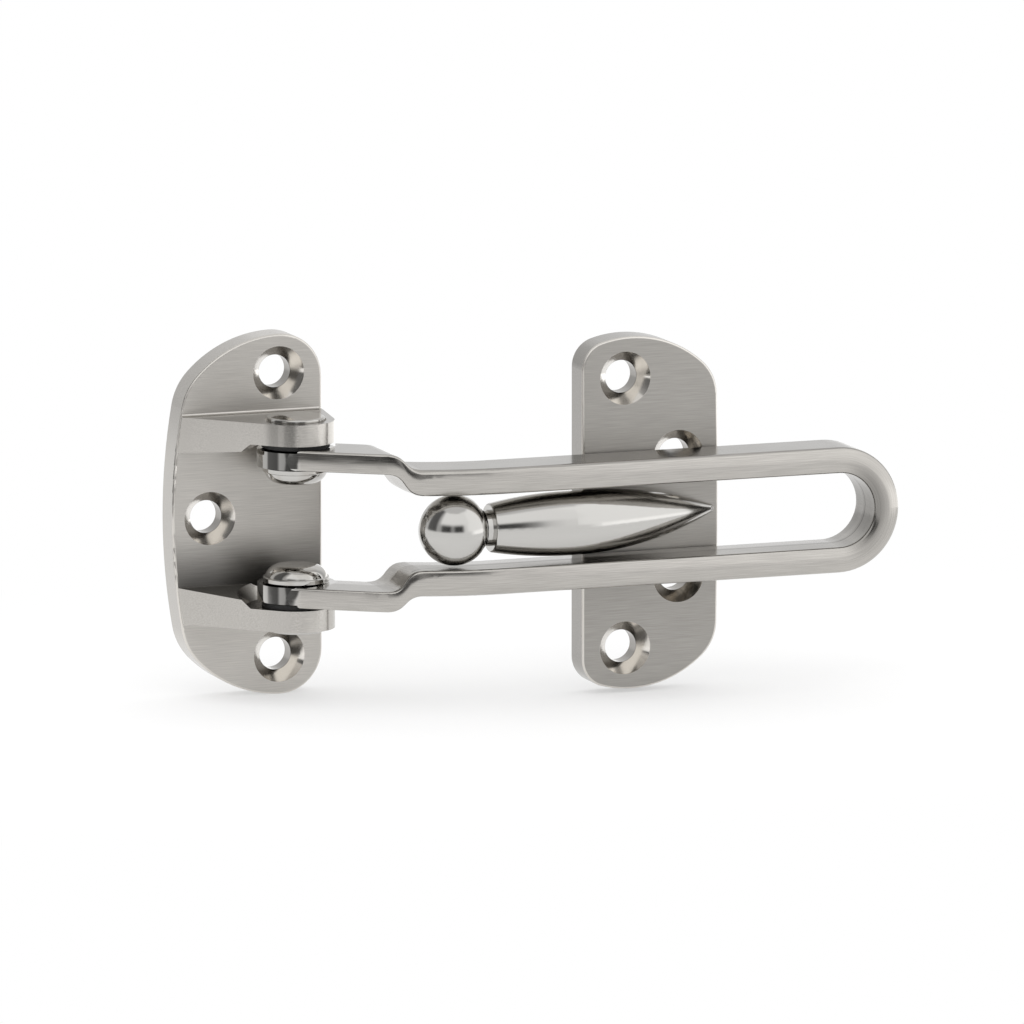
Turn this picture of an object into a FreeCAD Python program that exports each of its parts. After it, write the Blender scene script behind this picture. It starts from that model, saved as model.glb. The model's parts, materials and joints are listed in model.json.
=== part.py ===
import FreeCAD, Part
import math
import os

# Swing bar door guard: a hinge plate with two lugs, a looped bar that swings on two rivets,
# and a keeper plate whose ball-ended arm stands in the slot of the bar. Millimetres.
# Origin at the middle of the hinge plate's back. +X runs to the keeper, +Y into the wall, +Z up.
# A stand-off is a distance in front of the hinge plate's face.

# Plates
plate_thickness = 6.0
edge_round = 0.5
hinge_plate_width = 30.5
hinge_plate_height = 70.5
hinge_crown_radius = 24.0
hinge_crown_inset = 8.2
hinge_near_corner = 8.6
hinge_far_corner = 12.0
hinge_side_radius = 126.0
keeper_width = 28.0
keeper_height = 69.0
keeper_crown_radius = 22.0
keeper_crown_inset = 10.1
keeper_near_corner = 5.5
keeper_far_corner = 9.0
keeper_side_radius = 1500.0
plate_gap = 45.5
keeper_step = 22.0

# Screw holes, placed from the edges of their plates
screw_hole_diameter = 6.4
countersink_diameter = 10.4
countersink_angle = 75.0
hinge_hole_end = 7.6
hinge_hole_inset = 8.8
hinge_middle_inset = 7.6
keeper_outer_end = 8.1
keeper_outer_inset = 8.8
keeper_inner_inset = 8.2
keeper_inner_spacing = 23.4
keeper_inner_drop = 1.2

# Pivot and lugs
pin_standoff = 10.6
pin_edge_distance = 9.1
eye_radius = 7.5
eye_spread = 22.8
eye_thickness = 3.35
washer_thickness = 0.9
lug_nose_radius = 7.5
lug_nose_thickness = 4.2
lug_root_thickness = 7.0
lug_taper_angle = 7.0
lug_embed = 2.0
pocket_radius = 9.6
pocket_wall_angle = 40.0
root_fillet = 0.5

# Rivets
shank_diameter = 6.0
outer_head_diameter = 11.3
outer_head_depth = 1.8
outer_head_rise = 0.7
outer_head_round = 0.4
inner_head_diameter = 12.9
inner_head_height = 0.9
inner_head_round = 0.25
dome_diameter = 12.1
dome_flat_diameter = 6.6
dome_height = 2.2
washer_rim = 3.6

# Swing bar
slot_width = 14.5
bar_thickness = 5.05
bar_depth = 11.0
bar_crown = 0.7
arm_crown = 0.12
bar_reach = 115.8
outer_front_round = 1.2
inner_front_round = 0.7
arm_front_round = 0.45
back_round = 0.45
parting_ridge = 0.15
parting_share = 0.42
arm_thickness = 3.95
crank_angle = 35.0
crank_radius = 45.0
joggle_lead = 3.8
joggle_length = 6.4
arm_section_count = 2
joggle_section_count = 6
crank_section_count = 4

# Keeper arm
ball_diameter = 13.7
ball_overhang = 28.8
neck_diameter = 7.0
collar_offset = 7.2
collar_diameter = 9.4
collar_round = 0.4
arm_diameter = 12.5
arm_crest_overhang = 3.7
arm_tip_inset = 1.9
arm_tip_radius = 0.9
arm_bend_radius = 18.0

# Clearances
running_clearance = 0.05
axial_clearance = 0.3
seat_clearance = 0.05
ring_gap = 0.3
spot_clearance = 0.3
bar_keeper_clearance = 1.0

# Derived places
near_edge_x = hinge_plate_width / 2
hinge_front_y = -plate_thickness
pin_x = near_edge_x - pin_edge_distance
pin_y = hinge_front_y - pin_standoff
eye_inner = eye_spread / 2
eye_outer = eye_inner + eye_thickness
pocket_face = eye_outer + axial_clearance + washer_thickness + seat_clearance
lug_outer = pocket_face + lug_nose_thickness
lug_inner = lug_outer - lug_root_thickness
side_centre_x = hinge_side_radius - near_edge_x
lug_side_radius = hinge_side_radius - edge_round / 2
lug_tip_x = side_centre_x - math.sqrt(lug_side_radius ** 2 - lug_inner ** 2)
shank_radius = shank_diameter / 2
keeper_edge_x = near_edge_x + plate_gap
keeper_front_y = hinge_front_y - keeper_step
bar_back = keeper_step + bar_keeper_clearance - pin_standoff
bar_front = bar_back + bar_depth
ball_x = keeper_edge_x - ball_overhang
ball_y = pin_y - (bar_back + bar_depth / 2)
crank = math.radians(crank_angle)
crank_centre = bar_front - crank_radius
crank_end = (crank_centre * math.cos(crank) - eye_radius + crank_radius) / math.sin(crank)
crank_start = crank_end - crank_radius * math.sin(crank)
joggle_start = crank_start + joggle_lead
joggle_end = joggle_start + joggle_length
loop_centre_x = pin_x + bar_reach - slot_width / 2 - bar_thickness
collar_x = ball_x + collar_offset
crest_x = keeper_edge_x - arm_crest_overhang
arm_tip_x = keeper_edge_x + keeper_width - arm_tip_inset
arm_fall = keeper_front_y - ball_y
arm_dip = math.atan2(arm_fall, arm_tip_x - crest_x)
bend_run = arm_bend_radius * math.tan(arm_dip / 2)


def vec(x, y, z):
    return FreeCAD.Vector(x, y, z)


def cylinder_z(radius, low, high, x=pin_x, y=pin_y):
    """Upright cylinder between two heights."""
    return Part.makeCylinder(radius, high - low, vec(x, y, low), vec(0, 0, 1))


def meet(centre_a, radius_a, centre_b, radius_b):
    """Upper crossing point of two circles, given as (across, up) pairs."""
    across = centre_b[0] - centre_a[0]
    up = centre_b[1] - centre_a[1]
    gap = math.hypot(across, up)
    along = (gap * gap + radius_a * radius_a - radius_b * radius_b) / (2 * gap)
    rise = math.sqrt(radius_a * radius_a - along * along)
    foot = (centre_a[0] + along * across / gap, centre_a[1] + along * up / gap)
    shift = (-rise * up / gap, rise * across / gap)
    first = (foot[0] + shift[0], foot[1] + shift[1])
    second = (foot[0] - shift[0], foot[1] - shift[1])
    return max(first, second, key=lambda point: point[1])


def arc(a, b, c):
    return Part.Arc(a, b, c).toShape()


def line(a, b):
    return Part.LineSegment(a, b).toShape()


def plate_blank(edge_x, away, front_y, width, height, crown_radius, crown_inset, near_corner,
                far_corner, side_radius):
    """Plate with one straight edge, crowned ends and a gently bowed far side."""
    crown_centre = (crown_inset, height / 2 - crown_radius)
    side_centre = (width - side_radius, 0)
    near_top = crown_centre[1] + math.sqrt(crown_radius ** 2 - crown_inset ** 2)
    far_u, far_top = meet(crown_centre, crown_radius, side_centre, side_radius)

    def at(u, z):
        return vec(edge_x + away * u, front_y, z)

    edges = [
        line(at(0, -near_top), at(0, near_top)),
        arc(at(0, near_top), at(crown_inset, height / 2), at(far_u, far_top)),
        arc(at(far_u, far_top), at(width, 0), at(far_u, -far_top)),
        arc(at(far_u, -far_top), at(crown_inset, -height / 2), at(0, -near_top)),
    ]
    slab = Part.Face(Part.Wire(edges)).extrude(vec(0, plate_thickness, 0))
    slab = slab.makeFillet(near_corner, corner_edges(slab, edge_x))
    slab = slab.makeFillet(far_corner, corner_edges(slab, edge_x + away * far_u))
    front = [edge for edge in slab.Edges if flat_at(edge, front_y)]
    return slab.makeFillet(edge_round, front)


def flat_at(edge, y):
    """True where the whole edge lies in the plane of that Y."""
    box = edge.BoundBox
    return abs(box.YMin - y) < 1e-4 and abs(box.YMax - y) < 1e-4


def corner_edges(slab, x):
    """The edges that run through a slab's thickness at that X."""
    found = []
    for edge in slab.Edges:
        box = edge.BoundBox
        if box.XLength < 1e-4 and box.ZLength < 1e-4 and abs(box.Center.x - x) < 1e-4:
            found.append(edge)
    return found


def screw_hole(x, z, front_y):
    """Countersunk hole from the front of a plate to its back."""
    rim = countersink_diameter / 2
    bore = screw_hole_diameter / 2
    depth = (rim - bore) / math.tan(math.radians(countersink_angle / 2))
    cone = Part.makeCone(rim, bore, depth, vec(x, front_y, z), vec(0, 1, 0))
    hole = Part.makeCylinder(bore, plate_thickness, vec(x, front_y, z), vec(0, 1, 0))
    return cone.fuse(hole)


def tangent(x, y, side):
    """Point where a line from (x, y) touches the nose of a lug, on the side asked for."""
    gap = math.hypot(pin_x - x, pin_y - y)
    heading = math.atan2(pin_y - y, pin_x - x)
    turn = math.asin(lug_nose_radius / gap)
    reach = math.sqrt(gap * gap - lug_nose_radius ** 2)
    angle = heading + side * turn
    return x + reach * math.cos(angle), y + reach * math.sin(angle)


def lug():
    """Upper lug: a wedge from the plate to a round nose, thinner towards the nose."""
    root_y = hinge_front_y + lug_embed
    left = tangent(lug_tip_x, hinge_front_y, -1)
    right = tangent(near_edge_x, hinge_front_y, 1)

    def at(x, y):
        return vec(x, y, lug_inner)

    outline = [
        line(at(lug_tip_x, root_y), at(lug_tip_x, hinge_front_y)),
        line(at(lug_tip_x, hinge_front_y), at(*left)),
        arc(at(*left), at(pin_x, pin_y - lug_nose_radius), at(*right)),
        line(at(*right), at(near_edge_x, hinge_front_y)),
        line(at(near_edge_x, hinge_front_y), at(near_edge_x, root_y)),
        line(at(near_edge_x, root_y), at(lug_tip_x, root_y)),
    ]
    body = Part.Face(Part.Wire(outline)).extrude(vec(0, 0, lug_root_thickness))
    reach = pin_standoff + 2 * lug_nose_radius
    rise = reach * math.tan(math.radians(lug_taper_angle))
    slope = Part.makePolygon([
        vec(-near_edge_x, hinge_front_y, lug_inner),
        vec(-near_edge_x, hinge_front_y - reach, lug_inner),
        vec(-near_edge_x, hinge_front_y - reach, lug_inner + rise),
        vec(-near_edge_x, hinge_front_y, lug_inner),
    ])
    wedge = Part.Face(slope).extrude(vec(hinge_plate_width + lug_nose_radius, 0, 0))
    body = body.cut(wedge)
    flare = pocket_face * math.tan(math.radians(pocket_wall_angle))
    pocket = Part.makeCone(pocket_radius + flare, pocket_radius, pocket_face, vec(pin_x, pin_y, 0))
    body = body.cut(pocket)
    bow = Part.makeCylinder(lug_side_radius, 2 * reach, vec(side_centre_x, -2 * reach, 0), vec(0, 1, 0))
    return body.common(bow).cut(rivet_bore())


def rivet_bore():
    """Bore and countersink in a lug, a little wider than the rivet in them."""
    bore = shank_radius + seat_clearance
    rim = outer_head_diameter / 2 + ring_gap
    depth = outer_head_depth + ring_gap / 2
    cone = Part.makeCone(bore, rim, depth, vec(pin_x, pin_y, lug_outer - depth), vec(0, 0, 1))
    return cone.fuse(cylinder_z(bore, 0, lug_outer))


def mirrored(shape):
    return shape.mirror(vec(0, 0, 0), vec(0, 0, 1))


def hinge_plate():
    plate = plate_blank(near_edge_x, -1, hinge_front_y, hinge_plate_width, hinge_plate_height,
                        hinge_crown_radius, hinge_crown_inset, hinge_near_corner,
                        hinge_far_corner, hinge_side_radius)
    upper = lug()
    cove = lug_cove()
    plate = plate.fuse([upper, mirrored(upper), cove, mirrored(cove)]).removeSplitter()
    end_z = hinge_plate_height / 2 - hinge_hole_end
    pair_x = near_edge_x - hinge_hole_inset
    middle_x = hinge_middle_inset - near_edge_x
    for x, z in ((pair_x, end_z), (pair_x, -end_z), (middle_x, 0)):
        plate = plate.cut(screw_hole(x, z, hinge_front_y))
    return plate


def lug_cove():
    """Hollow fillet where the outer side of the upper lug meets the plate's face."""
    start_x = lug_tip_x + 2 * root_fillet
    root_y = hinge_front_y + lug_embed

    def at(y, z):
        return vec(start_x, y, z)

    hollow = root_fillet * (1 - math.sqrt(0.5))
    edges = [
        line(at(hinge_front_y - root_fillet, lug_outer), at(root_y, lug_outer)),
        line(at(root_y, lug_outer), at(root_y, lug_outer + root_fillet)),
        line(at(root_y, lug_outer + root_fillet), at(hinge_front_y, lug_outer + root_fillet)),
        arc(at(hinge_front_y, lug_outer + root_fillet),
            at(hinge_front_y - hollow, lug_outer + hollow),
            at(hinge_front_y - root_fillet, lug_outer)),
    ]
    return Part.Face(Part.Wire(edges)).extrude(vec(near_edge_x - edge_round - start_x, 0, 0))


def ring_edge(body, radius, height):
    """The full circle of that radius and height on a turned piece."""
    for edge in body.Edges:
        box = edge.BoundBox
        level = abs(box.ZMin - height) < 1e-4 and box.ZLength < 1e-4
        if level and abs(box.XLength - 2 * radius) < 1e-3:
            return edge
    raise ValueError("no such ring")


def rivet():
    """Upper rivet, turned: domed head below the eye, countersunk head above the lug."""
    head = inner_head_diameter / 2
    dome = dome_diameter / 2
    flat = dome_flat_diameter / 2
    outer = outer_head_diameter / 2
    under = eye_inner - axial_clearance
    step = under - inner_head_height
    face = step - dome_height
    top = lug_outer + outer_head_rise
    bow = ((dome - flat) ** 2 + dome_height ** 2) / (2 * dome_height)
    half_way = (dome + flat) / 2
    half_deep = face + bow - math.sqrt(bow ** 2 - (half_way - flat) ** 2)

    def at(radius, height):
        return vec(pin_x + radius, pin_y, height)

    corners = [
        at(dome, step), at(head, step), at(head, under), at(shank_radius, under),
        at(shank_radius, lug_outer - outer_head_depth), at(outer, lug_outer), at(outer, top),
        at(0, top), at(0, face), at(flat, face),
    ]
    edges = [line(start, end) for start, end in zip(corners, corners[1:])]
    edges.append(arc(at(flat, face), at(half_way, half_deep), at(dome, step)))
    body = Part.Face(Part.Wire(edges)).revolve(vec(pin_x, pin_y, 0), vec(0, 0, 1), 360)
    body = body.makeFillet(inner_head_round, [ring_edge(body, head, step)])
    return body.makeFillet(outer_head_round, [ring_edge(body, outer, top)])


def washer():
    """Thin friction washer between the upper eye and the pocket of its lug."""
    low = eye_outer + axial_clearance
    high = low + washer_thickness
    ring = cylinder_z(shank_radius + washer_rim, low, high)
    return ring.cut(cylinder_z(shank_radius + running_clearance, low, high))


def smooth_step(x, start, end):
    """Runs from start to end through the joggle on two equal arcs."""
    if x <= joggle_start:
        return start
    if x >= joggle_end:
        return end
    drop = abs(start - end)
    sign = math.copysign(1, end - start)
    radius = (joggle_length ** 2 + drop ** 2) / (4 * drop)
    if x < joggle_start + joggle_length / 2:
        run = x - joggle_start
        return start + sign * (radius - math.sqrt(radius ** 2 - run ** 2))
    run = joggle_end - x
    return end - sign * (radius - math.sqrt(radius ** 2 - run ** 2))


def bar_line(x, offset):
    """Stand-off of a bar face from the pin: a straight arm, an arc, then parallel to the wall."""
    radius = crank_radius - offset
    if x >= crank_end:
        return crank_centre + radius
    if x > crank_end - radius * math.sin(crank):
        return crank_centre + math.sqrt(radius ** 2 - (crank_end - x) ** 2)
    return (eye_radius - offset + x * math.sin(crank)) / math.cos(crank)


def bar_section(x):
    """Outline of the upper leg, cut square to X at a distance from the pin."""
    back = bar_line(x, bar_depth)
    depth = bar_line(x, 0) - back
    inner = smooth_step(x, eye_inner, slot_width / 2)
    outer = smooth_step(x, eye_inner + arm_thickness, slot_width / 2 + bar_thickness)
    thick = outer - inner
    swell = smooth_step(x, arm_crown, bar_crown)
    crown = ((thick / 2) ** 2 + swell ** 2) / (2 * swell)
    core = depth - crown

    def at(d, v):
        return vec(pin_x + x, pin_y - back - d, inner + v)

    def corner(radius):
        """Distance from the back to the middle of a front corner's round."""
        return core + math.sqrt((crown - radius) ** 2 - (thick / 2 - radius) ** 2)

    def on_crown(radius, d, v):
        """Point where a front corner's round runs into the crown."""
        share = crown / (crown - radius)
        return core + (d - core) * share, thick / 2 + (v - thick / 2) * share

    def round_mid(radius, d, v, side):
        """Middle of a front corner's round."""
        end = on_crown(radius, d, v)
        across = (end[0] - d, end[1] - v + side * radius)
        size = math.hypot(*across)
        return d + radius * across[0] / size, v + radius * across[1] / size

    inner_round = smooth_step(x, arm_front_round, inner_front_round)
    outer_round = smooth_step(x, arm_front_round, outer_front_round)
    inner_d = corner(inner_round)
    outer_d = corner(outer_round)
    inner_c = (inner_d, inner_round)
    outer_c = (outer_d, thick - outer_round)
    inner_end = on_crown(inner_round, *inner_c)
    outer_end = on_crown(outer_round, *outer_c)
    slant = back_round * (1 - math.sqrt(0.5))
    ridge = at(parting_share * depth, -parting_ridge)
    edges = [
        line(at(back_round, 0), ridge),
        line(ridge, at(inner_d, 0)),
        arc(at(inner_d, 0), at(*round_mid(inner_round, *inner_c, -1)), at(*inner_end)),
        arc(at(*inner_end), at(depth, thick / 2), at(*outer_end)),
        arc(at(*outer_end), at(*round_mid(outer_round, *outer_c, 1)), at(outer_d, thick)),
        line(at(outer_d, thick), at(back_round, thick)),
        arc(at(back_round, thick), at(slant, thick - slant), at(0, thick - back_round)),
        line(at(0, thick - back_round), at(0, back_round)),
        arc(at(0, back_round), at(slant, slant), at(back_round, 0)),
    ]
    return Part.Wire(edges)


def stretch(start, end, count):
    """Part of the upper leg between two distances from the pin, through even sections."""
    places = [start + (end - start) * index / count for index in range(count + 1)]
    return Part.makeLoft([bar_section(x) for x in places], True, False)


def straight_arm():
    """Upper arm from the eye to the crank, open round the pin and cut flat at the eye."""
    heading = vec(math.cos(crank), -math.sin(crank), 0)
    run = crank_start / math.cos(crank) + 3 * eye_radius
    body = Part.Face(bar_section(crank_start)).extrude(heading * -run)
    size = 4 * run
    behind = Part.makeBox(size, size, size, vec(-size, -size / 2, 0))
    behind.rotate(vec(0, 0, 0), vec(0, 0, 1), -crank_angle)
    behind.translate(vec(pin_x, pin_y, 0))
    body = body.cut(behind)
    spot = lug_nose_radius + spot_clearance
    return body.cut(cylinder_z(spot, eye_outer, eye_outer + arm_thickness))


def swing_bar():
    """One bar: two eyes, cranked and joggled arms, two legs and a round end."""
    eye = cylinder_z(eye_radius, eye_inner, eye_outer)
    cranked = [
        stretch(crank_start, joggle_start, arm_section_count),
        stretch(joggle_start, joggle_end, joggle_section_count),
        stretch(joggle_end, crank_end, crank_section_count),
    ]
    leg_face = Part.Face(bar_section(crank_end))
    leg = leg_face.extrude(vec(loop_centre_x - pin_x - crank_end, 0, 0))
    end_face = leg_face.copy()
    end_face.translate(vec(loop_centre_x - pin_x - crank_end, 0, 0))
    loop = end_face.revolve(vec(loop_centre_x, 0, 0), vec(0, 1, 0), 90)
    half = eye.fuse([straight_arm(), *cranked, leg, loop])
    half = half.cut(cylinder_z(shank_radius + running_clearance, 0, eye_outer + bar_depth))
    return half.fuse(mirrored(half)).removeSplitter()


def spindle(length, end_radius):
    """Half a spindle along +X: full at the origin, then falling on an arc to its end radius."""
    full = arm_diameter / 2
    drop = full - end_radius
    bow = (length ** 2 + drop ** 2) / (2 * drop)
    middle = full - bow + math.sqrt(bow ** 2 - length ** 2 / 4)
    edges = [
        line(vec(0, 0, 0), vec(0, full, 0)),
        arc(vec(0, full, 0), vec(length / 2, middle, 0), vec(length, end_radius, 0)),
        line(vec(length, end_radius, 0), vec(length, 0, 0)),
        line(vec(length, 0, 0), vec(0, 0, 0)),
    ]
    return Part.Face(Part.Wire(edges)).revolve(vec(0, 0, 0), vec(1, 0, 0), 360)


def placed(shape, x, y, angle):
    """Shape turned about Z at the origin, then moved to (x, y)."""
    shape.rotate(vec(0, 0, 0), vec(0, 0, 1), math.degrees(angle))
    shape.translate(vec(x, y, 0))
    return shape


def keeper_arm():
    """Polished arm: a ball, a groove, a spindle and a bent tail that runs into the plate."""
    ball = Part.makeSphere(ball_diameter / 2, vec(ball_x, ball_y, 0))
    neck = Part.makeCylinder(neck_diameter / 2, 2 * collar_offset, vec(ball_x, ball_y, 0),
                             vec(1, 0, 0))
    bend_x = crest_x - bend_run
    swell = spindle(bend_x - collar_x, collar_diameter / 2)
    rim = [edge for edge in swell.Edges if edge.BoundBox.XMin > bend_x - collar_x - 1e-4]
    swell = placed(swell.makeFillet(collar_round, rim), bend_x, ball_y, math.pi)
    ring = Part.Face(Part.Wire(Part.makeCircle(arm_diameter / 2, vec(bend_x, ball_y, 0), vec(1, 0, 0))))
    bend = ring.revolve(vec(bend_x, ball_y + arm_bend_radius, 0), vec(0, 0, 1), math.degrees(arm_dip))
    end_x = bend_x + arm_bend_radius * math.sin(arm_dip)
    end_y = ball_y + arm_bend_radius * (1 - math.cos(arm_dip))
    reach = math.hypot(arm_tip_x - crest_x, arm_fall) - bend_run
    tail = placed(spindle(reach, arm_tip_radius), end_x, end_y, arm_dip)
    nose = Part.makeSphere(arm_tip_radius, vec(arm_tip_x, keeper_front_y, 0))
    return ball.fuse([neck, swell, bend, tail, nose])


def keeper():
    plate = plate_blank(keeper_edge_x, 1, keeper_front_y, keeper_width, keeper_height,
                        keeper_crown_radius, keeper_crown_inset, keeper_near_corner,
                        keeper_far_corner, keeper_side_radius)
    plate = plate.fuse(keeper_arm()).removeSplitter()
    outer_z = keeper_height / 2 - keeper_outer_end
    outer_x = keeper_edge_x + keeper_outer_inset
    inner_z = keeper_inner_spacing / 2
    inner_x = keeper_edge_x + keeper_width - keeper_inner_inset
    for side in (1, -1):
        plate = plate.cut(screw_hole(outer_x, side * outer_z, keeper_front_y))
        plate = plate.cut(screw_hole(inner_x, side * inner_z - keeper_inner_drop, keeper_front_y))
    return plate


def single(shape):
    """The one solid that a piece is made of."""
    if len(shape.Solids) != 1:
        raise ValueError("a piece has to be one solid")
    return shape.Solids[0]


def main():
    os.makedirs("parts", exist_ok=True)
    upper_rivet = rivet()
    upper_washer = washer()
    pieces = {
        "hinge_plate": hinge_plate(),
        "swing_bar": swing_bar(),
        "upper_rivet": upper_rivet,
        "lower_rivet": mirrored(upper_rivet),
        "upper_washer": upper_washer,
        "lower_washer": mirrored(upper_washer),
        "keeper": keeper(),
    }
    for name, shape in pieces.items():
        single(shape).exportStep("parts/" + name + ".step")


main()
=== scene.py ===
import json
import math

import bmesh
import bpy
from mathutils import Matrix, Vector


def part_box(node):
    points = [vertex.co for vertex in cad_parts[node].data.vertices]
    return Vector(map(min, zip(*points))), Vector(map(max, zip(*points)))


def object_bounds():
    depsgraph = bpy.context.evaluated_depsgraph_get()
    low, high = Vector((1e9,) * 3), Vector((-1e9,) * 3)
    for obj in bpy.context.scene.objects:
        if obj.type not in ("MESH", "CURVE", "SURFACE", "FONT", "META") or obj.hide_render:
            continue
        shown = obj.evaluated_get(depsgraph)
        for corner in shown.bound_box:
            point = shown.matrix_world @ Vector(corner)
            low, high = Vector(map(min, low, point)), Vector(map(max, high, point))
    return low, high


# Swing bar door guard in satin nickel, standing on a white studio floor.
# Lengths are metres in the part's own frame: +X to the keeper, +Y into the wall, +Z up.

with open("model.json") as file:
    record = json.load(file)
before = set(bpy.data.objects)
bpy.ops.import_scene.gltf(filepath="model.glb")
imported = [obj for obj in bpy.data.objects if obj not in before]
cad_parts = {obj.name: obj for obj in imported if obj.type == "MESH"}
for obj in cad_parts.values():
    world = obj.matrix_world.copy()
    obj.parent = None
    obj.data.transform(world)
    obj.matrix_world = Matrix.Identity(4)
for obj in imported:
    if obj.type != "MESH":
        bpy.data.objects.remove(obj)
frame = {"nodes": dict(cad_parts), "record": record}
cad_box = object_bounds()
MM = 0.001
BLACK = (0, 0, 0, 1)
WHITE = (1, 1, 1, 1)

# Camera, as the photograph was taken; directions in degrees, 0 in front, + to the right and up
AZIMUTH = -20.26
ELEVATION = 9.70
DISTANCE = 3.0
PIXELS_PER_METRE = 5181.5
IMAGE_SIDE = 1024
SENSOR_WIDTH = 36.0
CLIP_END = 100.0
TARGET = Vector((0.04883, -0.021, 0.00035))

# Places on the part
JOINT = frame["record"]["behaviour"]["joints"][0]
PIN = Vector(JOINT["pos_m"])
PLATE_THICKNESS = 6 * MM
EDGE_ROUND = 0.5 * MM
RIM_RADIUS = 5.2 * MM
RIM_DEPTH = 2.65 * MM
BORE_RADIUS = 3.2 * MM
EYE_RADIUS = 7.5 * MM
EYE_EDGE = 1.1 * EYE_RADIUS
LOOP_RADIUS = 12.3 * MM
LUG_TOP = -13.6 * MM
SEAM_Y = -34.5 * MM
# Runs along the bar's length where the arms end and where the legs begin and settle
ARM_END = (18 * MM, 27 * MM)
LEG_START = (20 * MM, 30 * MM)
LEG_SETTLED = (38 * MM, 54 * MM)

# Floor: it keeps the shadow beside the part's half length and turns white over the run
FLOOR_SIDE = 12.0
FLOOR_TONES = ((0.93, 0.93, 0.93, 1), (0.96, 0.96, 0.96, 1))
FLOOR_GRAIN = 40.0
FLOOR_ROUGHNESS = 0.9
HALF_LENGTH = 0.055
WHITE_RUN = (0.01, 0.14)
NEAR_WHITE = 0.46

# Studio. Round the part, pairs of direction in degrees and brightness.
DOME_RADIUS = 0.25
DOME_STEPS = 5
ROUND_ABOUT = ((-180, 0.8), (-150, 0.7), (-112, 0.7), (-104, 0.15), (-80, 0.12),
               (-71, 0.55), (-63, 0.5), (-56, 0.1), (-36, 0.06), (-26, 0.4),
               (-14, 0.06), (2, 0.06), (7, 0.35), (12, 0.9), (18, 1.05),
               (28, 1.25), (90, 1.3), (106, 0.6), (140, 0.9))
# Large soft box in front: its left and right ends in degrees,
# its lower and upper ends as shares of the radius
BOX_LEFT = (-72, -60)
BOX_RIGHT = (24, 34)
BOX_FOOT = (0.26, 0.46)
BOX_TOP = (0.83, 0.90)
BOX_LEVEL = 1.15
OVERHEAD = (0.83, 0.90)
OVERHEAD_LEVEL = 0.75
# The floor shows in the foot of the dome up to these heights; on the right it is brighter.
FOOT = (0.026, 0.052)
FOOT_RIGHT = (28, 50)
FOOT_RIGHT_LEVEL = 1.6
# Lamps: name, azimuth, elevation, distance, side, power
LAMPS = (("key", -50, 50, 1.0, 1.0, 1.2),
         ("top", -10, 82, 1.0, 1.2, 1.6))
WORLD_LEVEL = 1.0

# Metal, and the tone of each piece as a share of it
NICKEL = (0.52, 0.50, 0.47)
POLISHED = (0.55, 0.54, 0.52, 1)
BARE_BORE = (0.32, 0.305, 0.285, 1)
STREAK_DEPTH = 0.82
HINGE_TONE = 1.16
KEEPER_TONE = 0.76
BAR_TONE = 1.02
RIVET_TONE = 0.93
# Painted highlight: the countersinks drawn lighter
PAINTED_COUNTERSINK_HIGHLIGHT = 1.5
# Painted highlight: the plate's rounded edge drawn lighter
PAINTED_EDGE_HIGHLIGHT = 1.4

# Grain: scales of the noise, how far it is drawn out, and the runs of noise that are used
STREAK_SCALE = 7000.0
STREAK_DETAIL = 3.0
PATCH_SCALE = 70.0
RING_SCALE = 6000.0
PLATE_STRETCH = (0.02, 1, 1)
BAR_STRETCH = (0.02, 0.04)
NOISE_RUN = (0.3, 0.7)
STREAK_RUN = (0.3, 0.75)
BUMP_DEPTH = 0.01 * MM
PLATE_BUMP = 0.10
BAR_BUMP = 0.04
POLISHED_BUMP = 0.1
GRAIN_STRENGTH = 0.6
GRAIN_TURN = 0.25
# Share of depth in the grain's direction, so that the plates' sides have a grain too
SIDE_LEAN = 0.3

# Roughness: ranges over streaks and patches, and what each place adds
PLATE_ROUGH = (0.17, 0.21)
PLATE_PATCHES = (-0.02, 0.02)
FRONT_ROUGH = 0.17
TURNED_ROUGH = -0.06
EDGE_ROUGH = 0.15
POLISHED_ROUGH = 0.13
BAR_ROUGH = (0.16, 0.22)
BAR_PATCHES = (-0.03, 0.03)
ARM_ROUGH = -0.04
EYE_ROUGH = -0.1

# Limits of the normal's parts: faces to the front, upright faces and top faces
FRONT_RUN = (0.93, 0.995)
UPRIGHT_RUN = (0.1, 0.4)
TOP_RUN = (0.85, 0.98)

# Painted shade, set in place of reflections in the photograph: shares of black
PAINTED_SIDE_SHADE = 0.08
PAINTED_TOP_SHADE = 0.26
PAINTED_LUG_SHADE = 0.35
# Painted shade on the inner side of the loop's end
PAINTED_LOOP_SHADE = 0.45
PAINTED_LOOP_SHADE_START = 0.6 * LOOP_RADIUS
PAINTED_LOOP_SHADE_RUN = (0.62 * LOOP_RADIUS, 0.92 * LOOP_RADIUS)
# Parting line along the middle of the slot's wall, drawn as a dark line of painted shade
PAINTED_SEAM_SHADE = 0.7
SEAM_WIDTH = (0.06 * MM, 0.16 * MM)
SEAM_RUN = (0.6 * LOOP_RADIUS, 0.65 * LOOP_RADIUS)
# Painted shade on the plate above the lower lug: its height, and the tone it begins with
PAINTED_SHADE_HEIGHT = 13 * MM
PAINTED_SHADE_TONE = 0.22
# Upward slopes of the shading normal alone; the meshes stay as they are
EYE_LEAN = 0.2
NOSE_LEAN = 0.065
ARM_LEAN = 0.065
LEG_LEAN = -0.22


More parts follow.
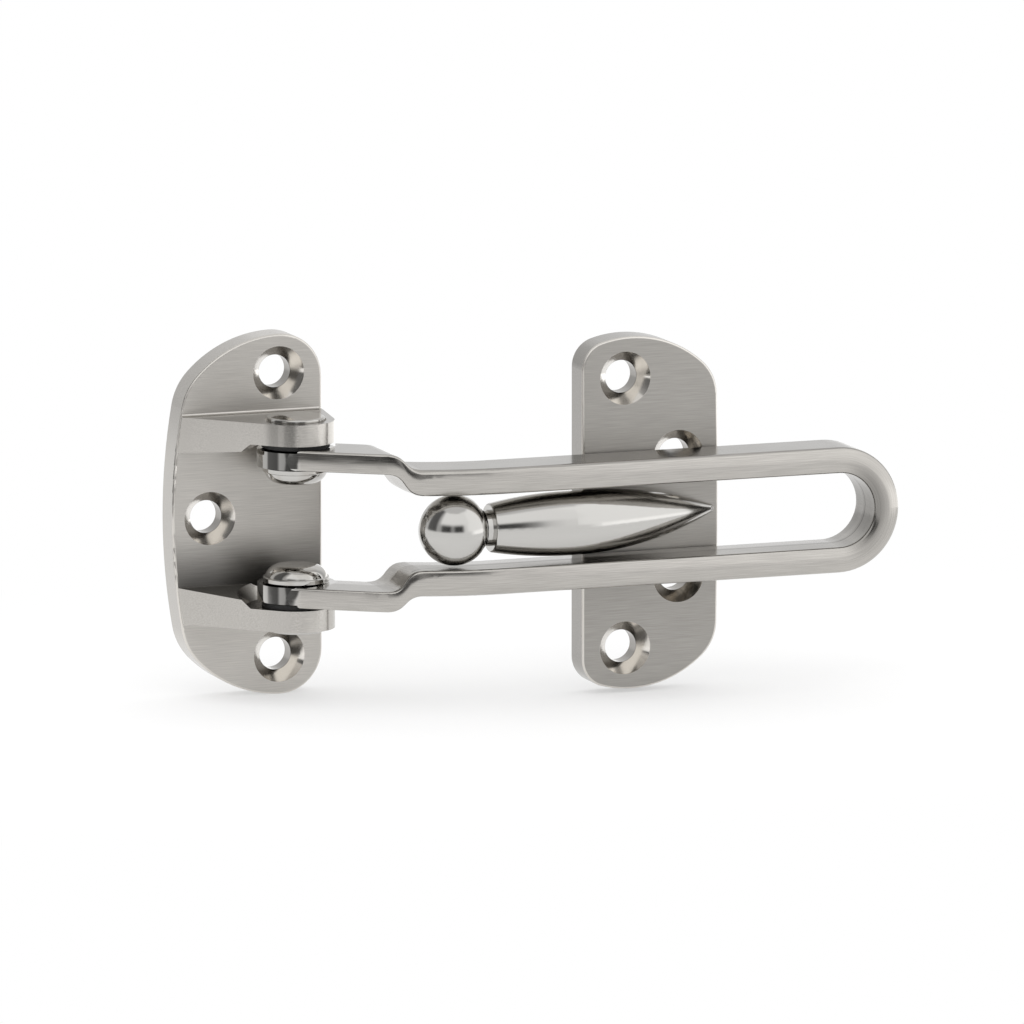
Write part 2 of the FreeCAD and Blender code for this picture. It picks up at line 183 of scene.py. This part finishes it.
class Graph:
    """A material's node tree, with short calls for the nodes used here."""

    def __init__(self, name):
        self.material = bpy.data.materials.new(name)
        self.material.use_nodes = True
        self.tree = self.material.node_tree
        self.shader = self.tree.nodes["Principled BSDF"]
        self.coords = self.add("ShaderNodeTexCoord").outputs["Object"]
        self.axes = self.add("ShaderNodeSeparateXYZ", Vector=self.coords).outputs

    def add(self, kind, **values):
        node = self.tree.nodes.new(kind)
        for name, value in values.items():
            self.put(node.inputs[name], value)
        return node

    def put(self, socket, value):
        if isinstance(value, bpy.types.NodeSocket):
            self.tree.links.new(value, socket)
        else:
            socket.default_value = value

    def set(self, **values):
        for name, value in values.items():
            self.put(self.shader.inputs[name.replace("_", " ")], value)

    def math(self, operation, first, second=0.0):
        node = self.tree.nodes.new("ShaderNodeMath")
        node.operation = operation
        self.put(node.inputs[0], first)
        self.put(node.inputs[1], second)
        return node.outputs[0]

    def plus(self, first, second):
        return self.math("ADD", first, second)

    def minus(self, first, second):
        return self.math("SUBTRACT", first, second)

    def times(self, first, second):
        return self.math("MULTIPLY", first, second)

    def length(self, first, second):
        """Length of a line from its two parts at right angles."""
        squares = self.plus(self.times(first, first), self.times(second, second))
        return self.math("SQRT", squares)

    def ramp(self, value, low, high, start, end):
        """Smooth change from start to end as value runs from low to high."""
        node = self.tree.nodes.new("ShaderNodeMapRange")
        node.interpolation_type = "SMOOTHSTEP"
        limits = {"From Min": low, "From Max": high, "To Min": start, "To Max": end}
        for name, number in limits.items():
            node.inputs[name].default_value = number
        self.put(node.inputs["Value"], value)
        return node.outputs["Result"]

    def mix(self, share, first, second):
        node = self.tree.nodes.new("ShaderNodeMix")
        node.data_type = "RGBA"
        self.put(node.inputs[0], share)
        self.put(node.inputs[6], first)
        self.put(node.inputs[7], second)
        return node.outputs[2]

    def darker(self, color, share):
        return self.mix(share, color, BLACK)

    def noise(self, scale, stretch=(1, 1, 1), detail=2.0):
        """Noise in object space; a small stretch value draws it out along that axis."""
        mapped = self.add("ShaderNodeMapping", Vector=self.coords, Scale=stretch)
        made = self.add("ShaderNodeTexNoise", Vector=mapped.outputs[0],
                        Scale=scale, Detail=detail)
        return made.outputs[0]

    def bump(self, height, strength, distance):
        made = self.add("ShaderNodeBump", Height=height, Strength=strength, Distance=distance)
        return made.outputs[0]

    def facing(self):
        """Share of flat faces to the front, share of other upright faces, rise of the normal."""
        normal = self.add("ShaderNodeNewGeometry").outputs["Normal"]
        parts = self.add("ShaderNodeSeparateXYZ", Vector=normal).outputs
        front = self.ramp(self.times(parts[1], -1.0), *FRONT_RUN, 0, 1)
        upright = self.ramp(self.math("ABSOLUTE", parts[2]), *UPRIGHT_RUN, 1, 0)
        return front, self.times(upright, self.minus(1.0, front)), parts[2]

    def leaning(self, normal, slope):
        """Shading normal that leans upwards by a slope."""
        lean = self.add("ShaderNodeCombineXYZ", Z=slope).outputs[0]
        total = self.add("ShaderNodeVectorMath")
        self.put(total.inputs[0], normal)
        self.put(total.inputs[1], lean)
        unit = self.add("ShaderNodeVectorMath")
        unit.operation = "NORMALIZE"
        self.put(unit.inputs[0], total.outputs[0])
        return unit.outputs[0]

    def from_pin(self):
        """Distance from the pin's axis."""
        return self.length(self.minus(self.axes[0], PIN.x), self.minus(self.axes[1], PIN.y))

    def distance_to(self, x, z):
        """Distance from a line along Y through (x, z)."""
        return self.length(self.minus(self.axes[0], x), self.minus(self.axes[2], z))

    def nearest(self, holes):
        """Distance from the nearest of several holes."""
        found = self.distance_to(*holes[0])
        for hole in holes[1:]:
            found = self.math("MINIMUM", found, self.distance_to(*hole))
        return found


def gray(level):
    return (level, level, level, 1)


def tinted(tone):
    """Nickel and its darker streaks, for a piece of that tone."""
    light = [channel * tone for channel in NICKEL]
    return (*light, 1), (*(channel * STREAK_DEPTH for channel in light), 1)


def screw_holes(*names):
    """Centres (x, z) of the holes of the named mounts."""
    found = []
    for mount in frame["record"]["mounts"]:
        if mount["name"] in names:
            x, _, z = mount["pos_m"]
            half = mount["dims"].get("spacing_y_mm", 0) * MM / 2
            found += sorted({(x, z + half), (x, z - half)})
    return found


def plate_material(name, tone, holes, face, polished=False, painted_shade_from=None):
    """Satin plate brushed across, with turned countersinks.

    Where asked for, it has a polished arm or a band of painted shade; face is the Y of its
    front.
    """
    graph = Graph(name)
    light, dark = tinted(tone)
    streaks = graph.noise(STREAK_SCALE, PLATE_STRETCH, STREAK_DETAIL)
    patches = graph.noise(PATCH_SCALE)
    front, side, rise = graph.facing()
    near = graph.nearest(holes)
    behind = graph.minus(graph.axes[1], face)

    # Where the places are: countersinks, bores, tops of the lugs with their painted shade, and
    # the plate's rounded edge
    turned = graph.times(graph.ramp(near, RIM_RADIUS - 0.1 * MM, RIM_RADIUS + 0.05 * MM, 1, 0),
                         graph.ramp(behind, RIM_DEPTH, RIM_DEPTH + 0.1 * MM, 1, 0))
    bore = graph.ramp(near, BORE_RADIUS + 0.02 * MM, BORE_RADIUS + 0.08 * MM, 1, 0)
    lug_top_shade = graph.times(graph.ramp(rise, *TOP_RUN, 0, PAINTED_LUG_SHADE),
                          graph.ramp(behind, -1.0 * MM, -0.3 * MM, 1, 0))
    edge = graph.times(graph.ramp(behind, -0.1 * MM, -0.02 * MM, 0, 1),
                       graph.ramp(behind, 0.3 * MM, EDGE_ROUND, 1, 0))
    edge = graph.times(edge, graph.minus(1.0, graph.math("MAXIMUM", front, turned)))

    rough = graph.plus(graph.ramp(streaks, *NOISE_RUN, *PLATE_ROUGH),
                       graph.ramp(patches, *NOISE_RUN, *PLATE_PATCHES))
    for place, change in ((front, FRONT_ROUGH), (turned, TURNED_ROUGH), (edge, EDGE_ROUGH)):
        rough = graph.plus(rough, graph.times(place, change))

    color = graph.mix(graph.ramp(streaks, *STREAK_RUN, 0, 1), dark, light)
    # Painted shade: the upright sides drawn darker
    color = graph.darker(color, graph.times(side, PAINTED_SIDE_SHADE))
    # Painted shade: the tops of the lugs drawn darker
    color = graph.darker(color, lug_top_shade)
    # Painted shade on the plate above the lower lug, darkest next to it
    if painted_shade_from is not None:
        height = graph.axes[2]
        band = graph.times(graph.ramp(height, painted_shade_from, painted_shade_from + PAINTED_SHADE_HEIGHT,
                                      1 - PAINTED_SHADE_TONE, 0),
                           graph.math("GREATER_THAN", height, painted_shade_from))
        color = graph.darker(color, graph.times(band, front))
    # Painted highlight: the turned countersinks drawn lighter
    color = graph.mix(turned, color, tinted(PAINTED_COUNTERSINK_HIGHLIGHT)[0])
    # Painted highlight: the rounded edge drawn lighter
    color = graph.mix(edge, color, tinted(PAINTED_EDGE_HIGHLIGHT)[0])
    color = graph.mix(bore, color, BARE_BORE)

    rings = graph.add("ShaderNodeTexNoise", Scale=RING_SCALE, Detail=2.0)
    rings.noise_dimensions = "1D"
    graph.put(rings.inputs["W"], near)
    relief = graph.plus(graph.times(streaks, front), graph.times(rings.outputs[0], turned))

    if polished:
        polish = graph.ramp(graph.axes[1], face - 0.35 * MM, face - 0.05 * MM, 1, 0)
        rough = graph.plus(graph.times(rough, graph.minus(1.0, polish)),
                           graph.times(polish, POLISHED_ROUGH))
        color = graph.mix(polish, color, POLISHED)
        relief = graph.times(relief, graph.ramp(polish, 0, 1, 1, POLISHED_BUMP))

    nose = graph.times(side, graph.ramp(graph.from_pin(), EYE_RADIUS, EYE_EDGE, NOSE_LEAN, 0))
    across = graph.add("ShaderNodeCombineXYZ", X=1.0, Y=SIDE_LEAN).outputs[0]
    graph.set(Base_Color=color, Roughness=rough, Metallic=1.0,
              Anisotropic=graph.times(front, GRAIN_STRENGTH),
              Anisotropic_Rotation=GRAIN_TURN, Tangent=across,
              Normal=graph.leaning(graph.bump(relief, PLATE_BUMP, BUMP_DEPTH), nose))
    return graph.material


def bar_material():
    """Satin bar brushed along its length, polished round the eyes."""
    graph = Graph("brushed_bar")
    x, y, z = graph.axes

    # Streaks follow the bar: the legs by their height, the loop's end by its radius
    loop_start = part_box("swing_bar")[1][0] - LOOP_RADIUS
    past = graph.math("MAXIMUM", graph.minus(x, loop_start))
    from_middle = graph.length(past, z)
    along = graph.add("ShaderNodeCombineXYZ", X=graph.times(x, BAR_STRETCH[0]),
                      Y=graph.times(y, BAR_STRETCH[1]), Z=from_middle).outputs[0]
    streaks = graph.add("ShaderNodeTexNoise", Vector=along, Scale=STREAK_SCALE,
                        Detail=STREAK_DETAIL).outputs[0]
    patches = graph.noise(PATCH_SCALE)

    polish = graph.ramp(graph.from_pin(), EYE_RADIUS, EYE_EDGE, 1, 0)
    arm = graph.ramp(x, *ARM_END, 1, 0)
    rough = graph.plus(graph.ramp(streaks, *NOISE_RUN, *BAR_ROUGH),
                       graph.ramp(patches, *NOISE_RUN, *BAR_PATCHES))
    for place, change in ((arm, ARM_ROUGH), (polish, EYE_ROUGH)):
        rough = graph.plus(rough, graph.times(place, change))

    light, dark = tinted(BAR_TONE)
    color = graph.mix(graph.ramp(streaks, *STREAK_RUN, 0, 1), dark, light)
    rise = graph.facing()[2]
    # Painted shade: the top faces drawn darker
    color = graph.darker(color, graph.ramp(rise, *TOP_RUN, 0, PAINTED_TOP_SHADE))
    # Painted shade on the inner side of the loop's end
    painted_inner_shade = graph.times(graph.ramp(past, 0, PAINTED_LOOP_SHADE_START, 0, PAINTED_LOOP_SHADE),
                        graph.ramp(from_middle, *PAINTED_LOOP_SHADE_RUN, 1, 0))
    color = graph.darker(color, painted_inner_shade)
    # Parting line, drawn dark as painted shade
    from_seam = graph.math("ABSOLUTE", graph.minus(y, SEAM_Y))
    seam_shade = graph.times(graph.ramp(from_seam, *SEAM_WIDTH, PAINTED_SEAM_SHADE, 0),
                       graph.ramp(from_middle, *SEAM_RUN, 1, 0))
    color = graph.darker(color, seam_shade)
    color = graph.mix(polish, color, POLISHED)

    relief = graph.times(streaks, graph.ramp(polish, 0, 1, 1, POLISHED_BUMP))
    leg = graph.times(graph.ramp(x, *LEG_START, 0, LEG_LEAN),
                      graph.ramp(x, *LEG_SETTLED, 1, 0))
    near_pin = graph.math("MAXIMUM", graph.times(polish, EYE_LEAN), graph.times(arm, ARM_LEAN))
    graph.set(Base_Color=color, Roughness=rough, Metallic=1.0,
              Normal=graph.leaning(graph.bump(relief, BAR_BUMP, BUMP_DEPTH),
                                   graph.plus(leg, near_pin)))
    return graph.material


def rivet_material():
    """Polished rivet with faint turning marks."""
    graph = Graph("polished_rivet")
    patches = graph.noise(400.0)
    rings = graph.noise(9000.0, (0.02, 0.02, 1))
    patchy = graph.ramp(patches, 0.35, 0.7, 0, 1)
    graph.set(Base_Color=graph.mix(patchy, POLISHED, tinted(RIVET_TONE)[0]),
              Roughness=graph.ramp(patches, *NOISE_RUN, 0.05, 0.10), Metallic=1.0,
              Normal=graph.bump(rings, 0.08, BUMP_DEPTH))
    return graph.material


def washer_material():
    """Black plastic, slightly uneven."""
    graph = Graph("black_washer")
    grain = graph.noise(3000.0)
    graph.set(Base_Color=graph.mix(grain, gray(0.008), gray(0.02)),
              Roughness=graph.ramp(grain, *NOISE_RUN, 0.5, 0.7),
              Normal=graph.bump(grain, 0.2, 0.02 * MM))
    return graph.material


def dress():
    """Give every piece its finish; the meshes stay as they are."""
    rivet = rivet_material()
    washer = washer_material()
    finishes = {
        "hinge_plate": plate_material("satin_hinge_plate", HINGE_TONE,
                                      screw_holes("hinge_end_screws", "hinge_middle_screw"),
                                      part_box("hinge_plate")[1][1] - PLATE_THICKNESS,
                                      painted_shade_from=LUG_TOP),
        "keeper": plate_material("satin_keeper", KEEPER_TONE,
                                 screw_holes("keeper_outer_screws", "keeper_inner_screws"),
                                 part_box("keeper")[1][1] - PLATE_THICKNESS, polished=True),
        "swing_bar": bar_material(),
        "upper_rivet": rivet,
        "lower_rivet": rivet,
        "upper_washer": washer,
        "lower_washer": washer,
    }
    for name, material in finishes.items():
        mesh = frame["nodes"][name].data
        mesh.materials.clear()
        mesh.materials.append(material)


def heading(azimuth, elevation):
    """Unit vector from the part towards a direction in degrees."""
    a = math.radians(azimuth)
    e = math.radians(elevation)
    return Vector((math.sin(a) * math.cos(e), -math.cos(a) * math.cos(e), math.sin(e)))


def white_share(graph):
    """1 for the rays that show a background: the camera's, and those in metal and glass."""
    path = graph.add("ShaderNodeLightPath").outputs
    seen = path["Is Camera Ray"]
    for name in ("Is Glossy Ray", "Is Transmission Ray"):
        seen = graph.math("MAXIMUM", seen, path[name])
    return seen


def floor():
    """Pale floor that keeps the shadow near the part and runs out into white."""
    mesh = bpy.data.meshes.new("floor")
    half = FLOOR_SIDE / 2
    corners = [(-half, -half, 0), (half, -half, 0), (half, half, 0), (-half, half, 0)]
    mesh.from_pydata(corners, [], [(0, 1, 2, 3)])
    ground = bpy.data.objects.new("floor", mesh)
    ground.location = (TARGET.x, TARGET.y, cad_box[0][2])
    bpy.context.scene.collection.objects.link(ground)

    graph = Graph("white_floor")
    x, y, _ = graph.axes
    graph.set(Base_Color=graph.mix(graph.noise(FLOOR_GRAIN), *FLOOR_TONES),
              Roughness=FLOOR_ROUGHNESS, Specular_IOR_Level=0.0)
    beside = graph.math("MAXIMUM", graph.minus(graph.math("ABSOLUTE", x), HALF_LENGTH))
    far = graph.ramp(graph.length(beside, y), *WHITE_RUN, NEAR_WHITE, 1)
    glow = graph.add("ShaderNodeEmission", Color=WHITE)
    blend = graph.add("ShaderNodeMixShader")
    graph.put(blend.inputs[0], graph.times(far, white_share(graph)))
    graph.put(blend.inputs[1], graph.shader.outputs[0])
    graph.put(blend.inputs[2], glow.outputs[0])
    graph.put(graph.tree.nodes["Material Output"].inputs["Surface"], blend.outputs[0])
    mesh.materials.append(graph.material)


def dome():
    """Studio seen by the metal alone: soft boxes, dark gaps and an overhead light."""
    mesh = bpy.data.meshes.new("studio_dome")
    shape = bmesh.new()
    bmesh.ops.create_icosphere(shape, subdivisions=DOME_STEPS, radius=DOME_RADIUS)
    shape.to_mesh(mesh)
    shape.free()
    shell = bpy.data.objects.new("studio_dome", mesh)
    shell.location = TARGET
    bpy.context.scene.collection.objects.link(shell)

    graph = Graph("studio_dome")
    x, y, z = graph.axes
    around = graph.math("ARCTAN2", x, graph.times(y, -1.0))
    degrees = graph.times(around, 180 / math.pi)
    height = graph.math("DIVIDE", z, DOME_RADIUS)

    # The ring's ramp runs once round, with 0.5 in front
    turn = graph.plus(graph.times(around, 0.5 / math.pi), 0.5)
    ring = graph.add("ShaderNodeValToRGB", Fac=turn)
    stops = ring.color_ramp
    stops.interpolation = "EASE"
    while len(stops.elements) < len(ROUND_ABOUT):
        stops.elements.new(0.5)
    for stop, (direction, level) in zip(stops.elements, ROUND_ABOUT):
        stop.position = direction / 360 + 0.5
        stop.color = gray(level)

    overhead = graph.ramp(height, *OVERHEAD, 0, 1)
    shade = graph.mix(overhead, ring.outputs[0], gray(OVERHEAD_LEVEL))
    wide = graph.times(graph.ramp(degrees, *BOX_LEFT, 0, 1),
                       graph.ramp(degrees, *BOX_RIGHT, 1, 0))
    tall = graph.times(graph.ramp(height, *BOX_FOOT, 0, 1),
                       graph.ramp(height, *BOX_TOP, 1, 0))
    shade = graph.mix(graph.times(wide, tall), shade, gray(BOX_LEVEL))
    above_floor = graph.minus(z, cad_box[0][2] - TARGET.z)
    foot = graph.mix(graph.ramp(degrees, *FOOT_RIGHT, 0, 1), WHITE, gray(FOOT_RIGHT_LEVEL))
    shade = graph.mix(graph.ramp(above_floor, *FOOT, 1, 0), shade, foot)
    glow = graph.add("ShaderNodeEmission", Color=shade)
    graph.put(graph.tree.nodes["Material Output"].inputs["Surface"], glow.outputs[0])
    mesh.materials.append(graph.material)
    shell.visible_camera = False
    shell.visible_diffuse = False
    shell.visible_shadow = False


def lamp(name, azimuth, elevation, distance, side, power):
    """Square lamp that faces the part and stays out of the picture."""
    data = bpy.data.lights.new(name, "AREA")
    data.shape = "SQUARE"
    data.size = side
    data.energy = power
    made = bpy.data.objects.new(name, data)
    direction = heading(azimuth, elevation)
    made.location = TARGET + direction * distance
    made.rotation_euler = direction.to_track_quat("Z", "Y").to_euler()
    made.visible_camera = False
    bpy.context.scene.collection.objects.link(made)


def white_world():
    """White all round."""
    world = bpy.data.worlds.new("white_room")
    bpy.context.scene.world = world
    world.use_nodes = True
    back = world.node_tree.nodes["Background"]
    back.inputs["Color"].default_value = WHITE
    back.inputs["Strength"].default_value = WORLD_LEVEL


def studio():
    white_world()
    for values in LAMPS:
        lamp(*values)
    dome()


def camera():
    data = bpy.data.cameras.new("camera")
    data.sensor_width = SENSOR_WIDTH
    data.lens = PIXELS_PER_METRE * DISTANCE * data.sensor_width / IMAGE_SIDE
    data.clip_end = CLIP_END
    made = bpy.data.objects.new("camera", data)
    back = heading(AZIMUTH, ELEVATION)
    made.location = TARGET + back * DISTANCE
    made.rotation_euler = back.to_track_quat("Z", "Y").to_euler()
    bpy.context.scene.collection.objects.link(made)
    bpy.context.scene.camera = made


def main():
    bpy.context.scene.view_settings.view_transform = "Standard"
    dress()
    floor()
    studio()
    camera()


main()
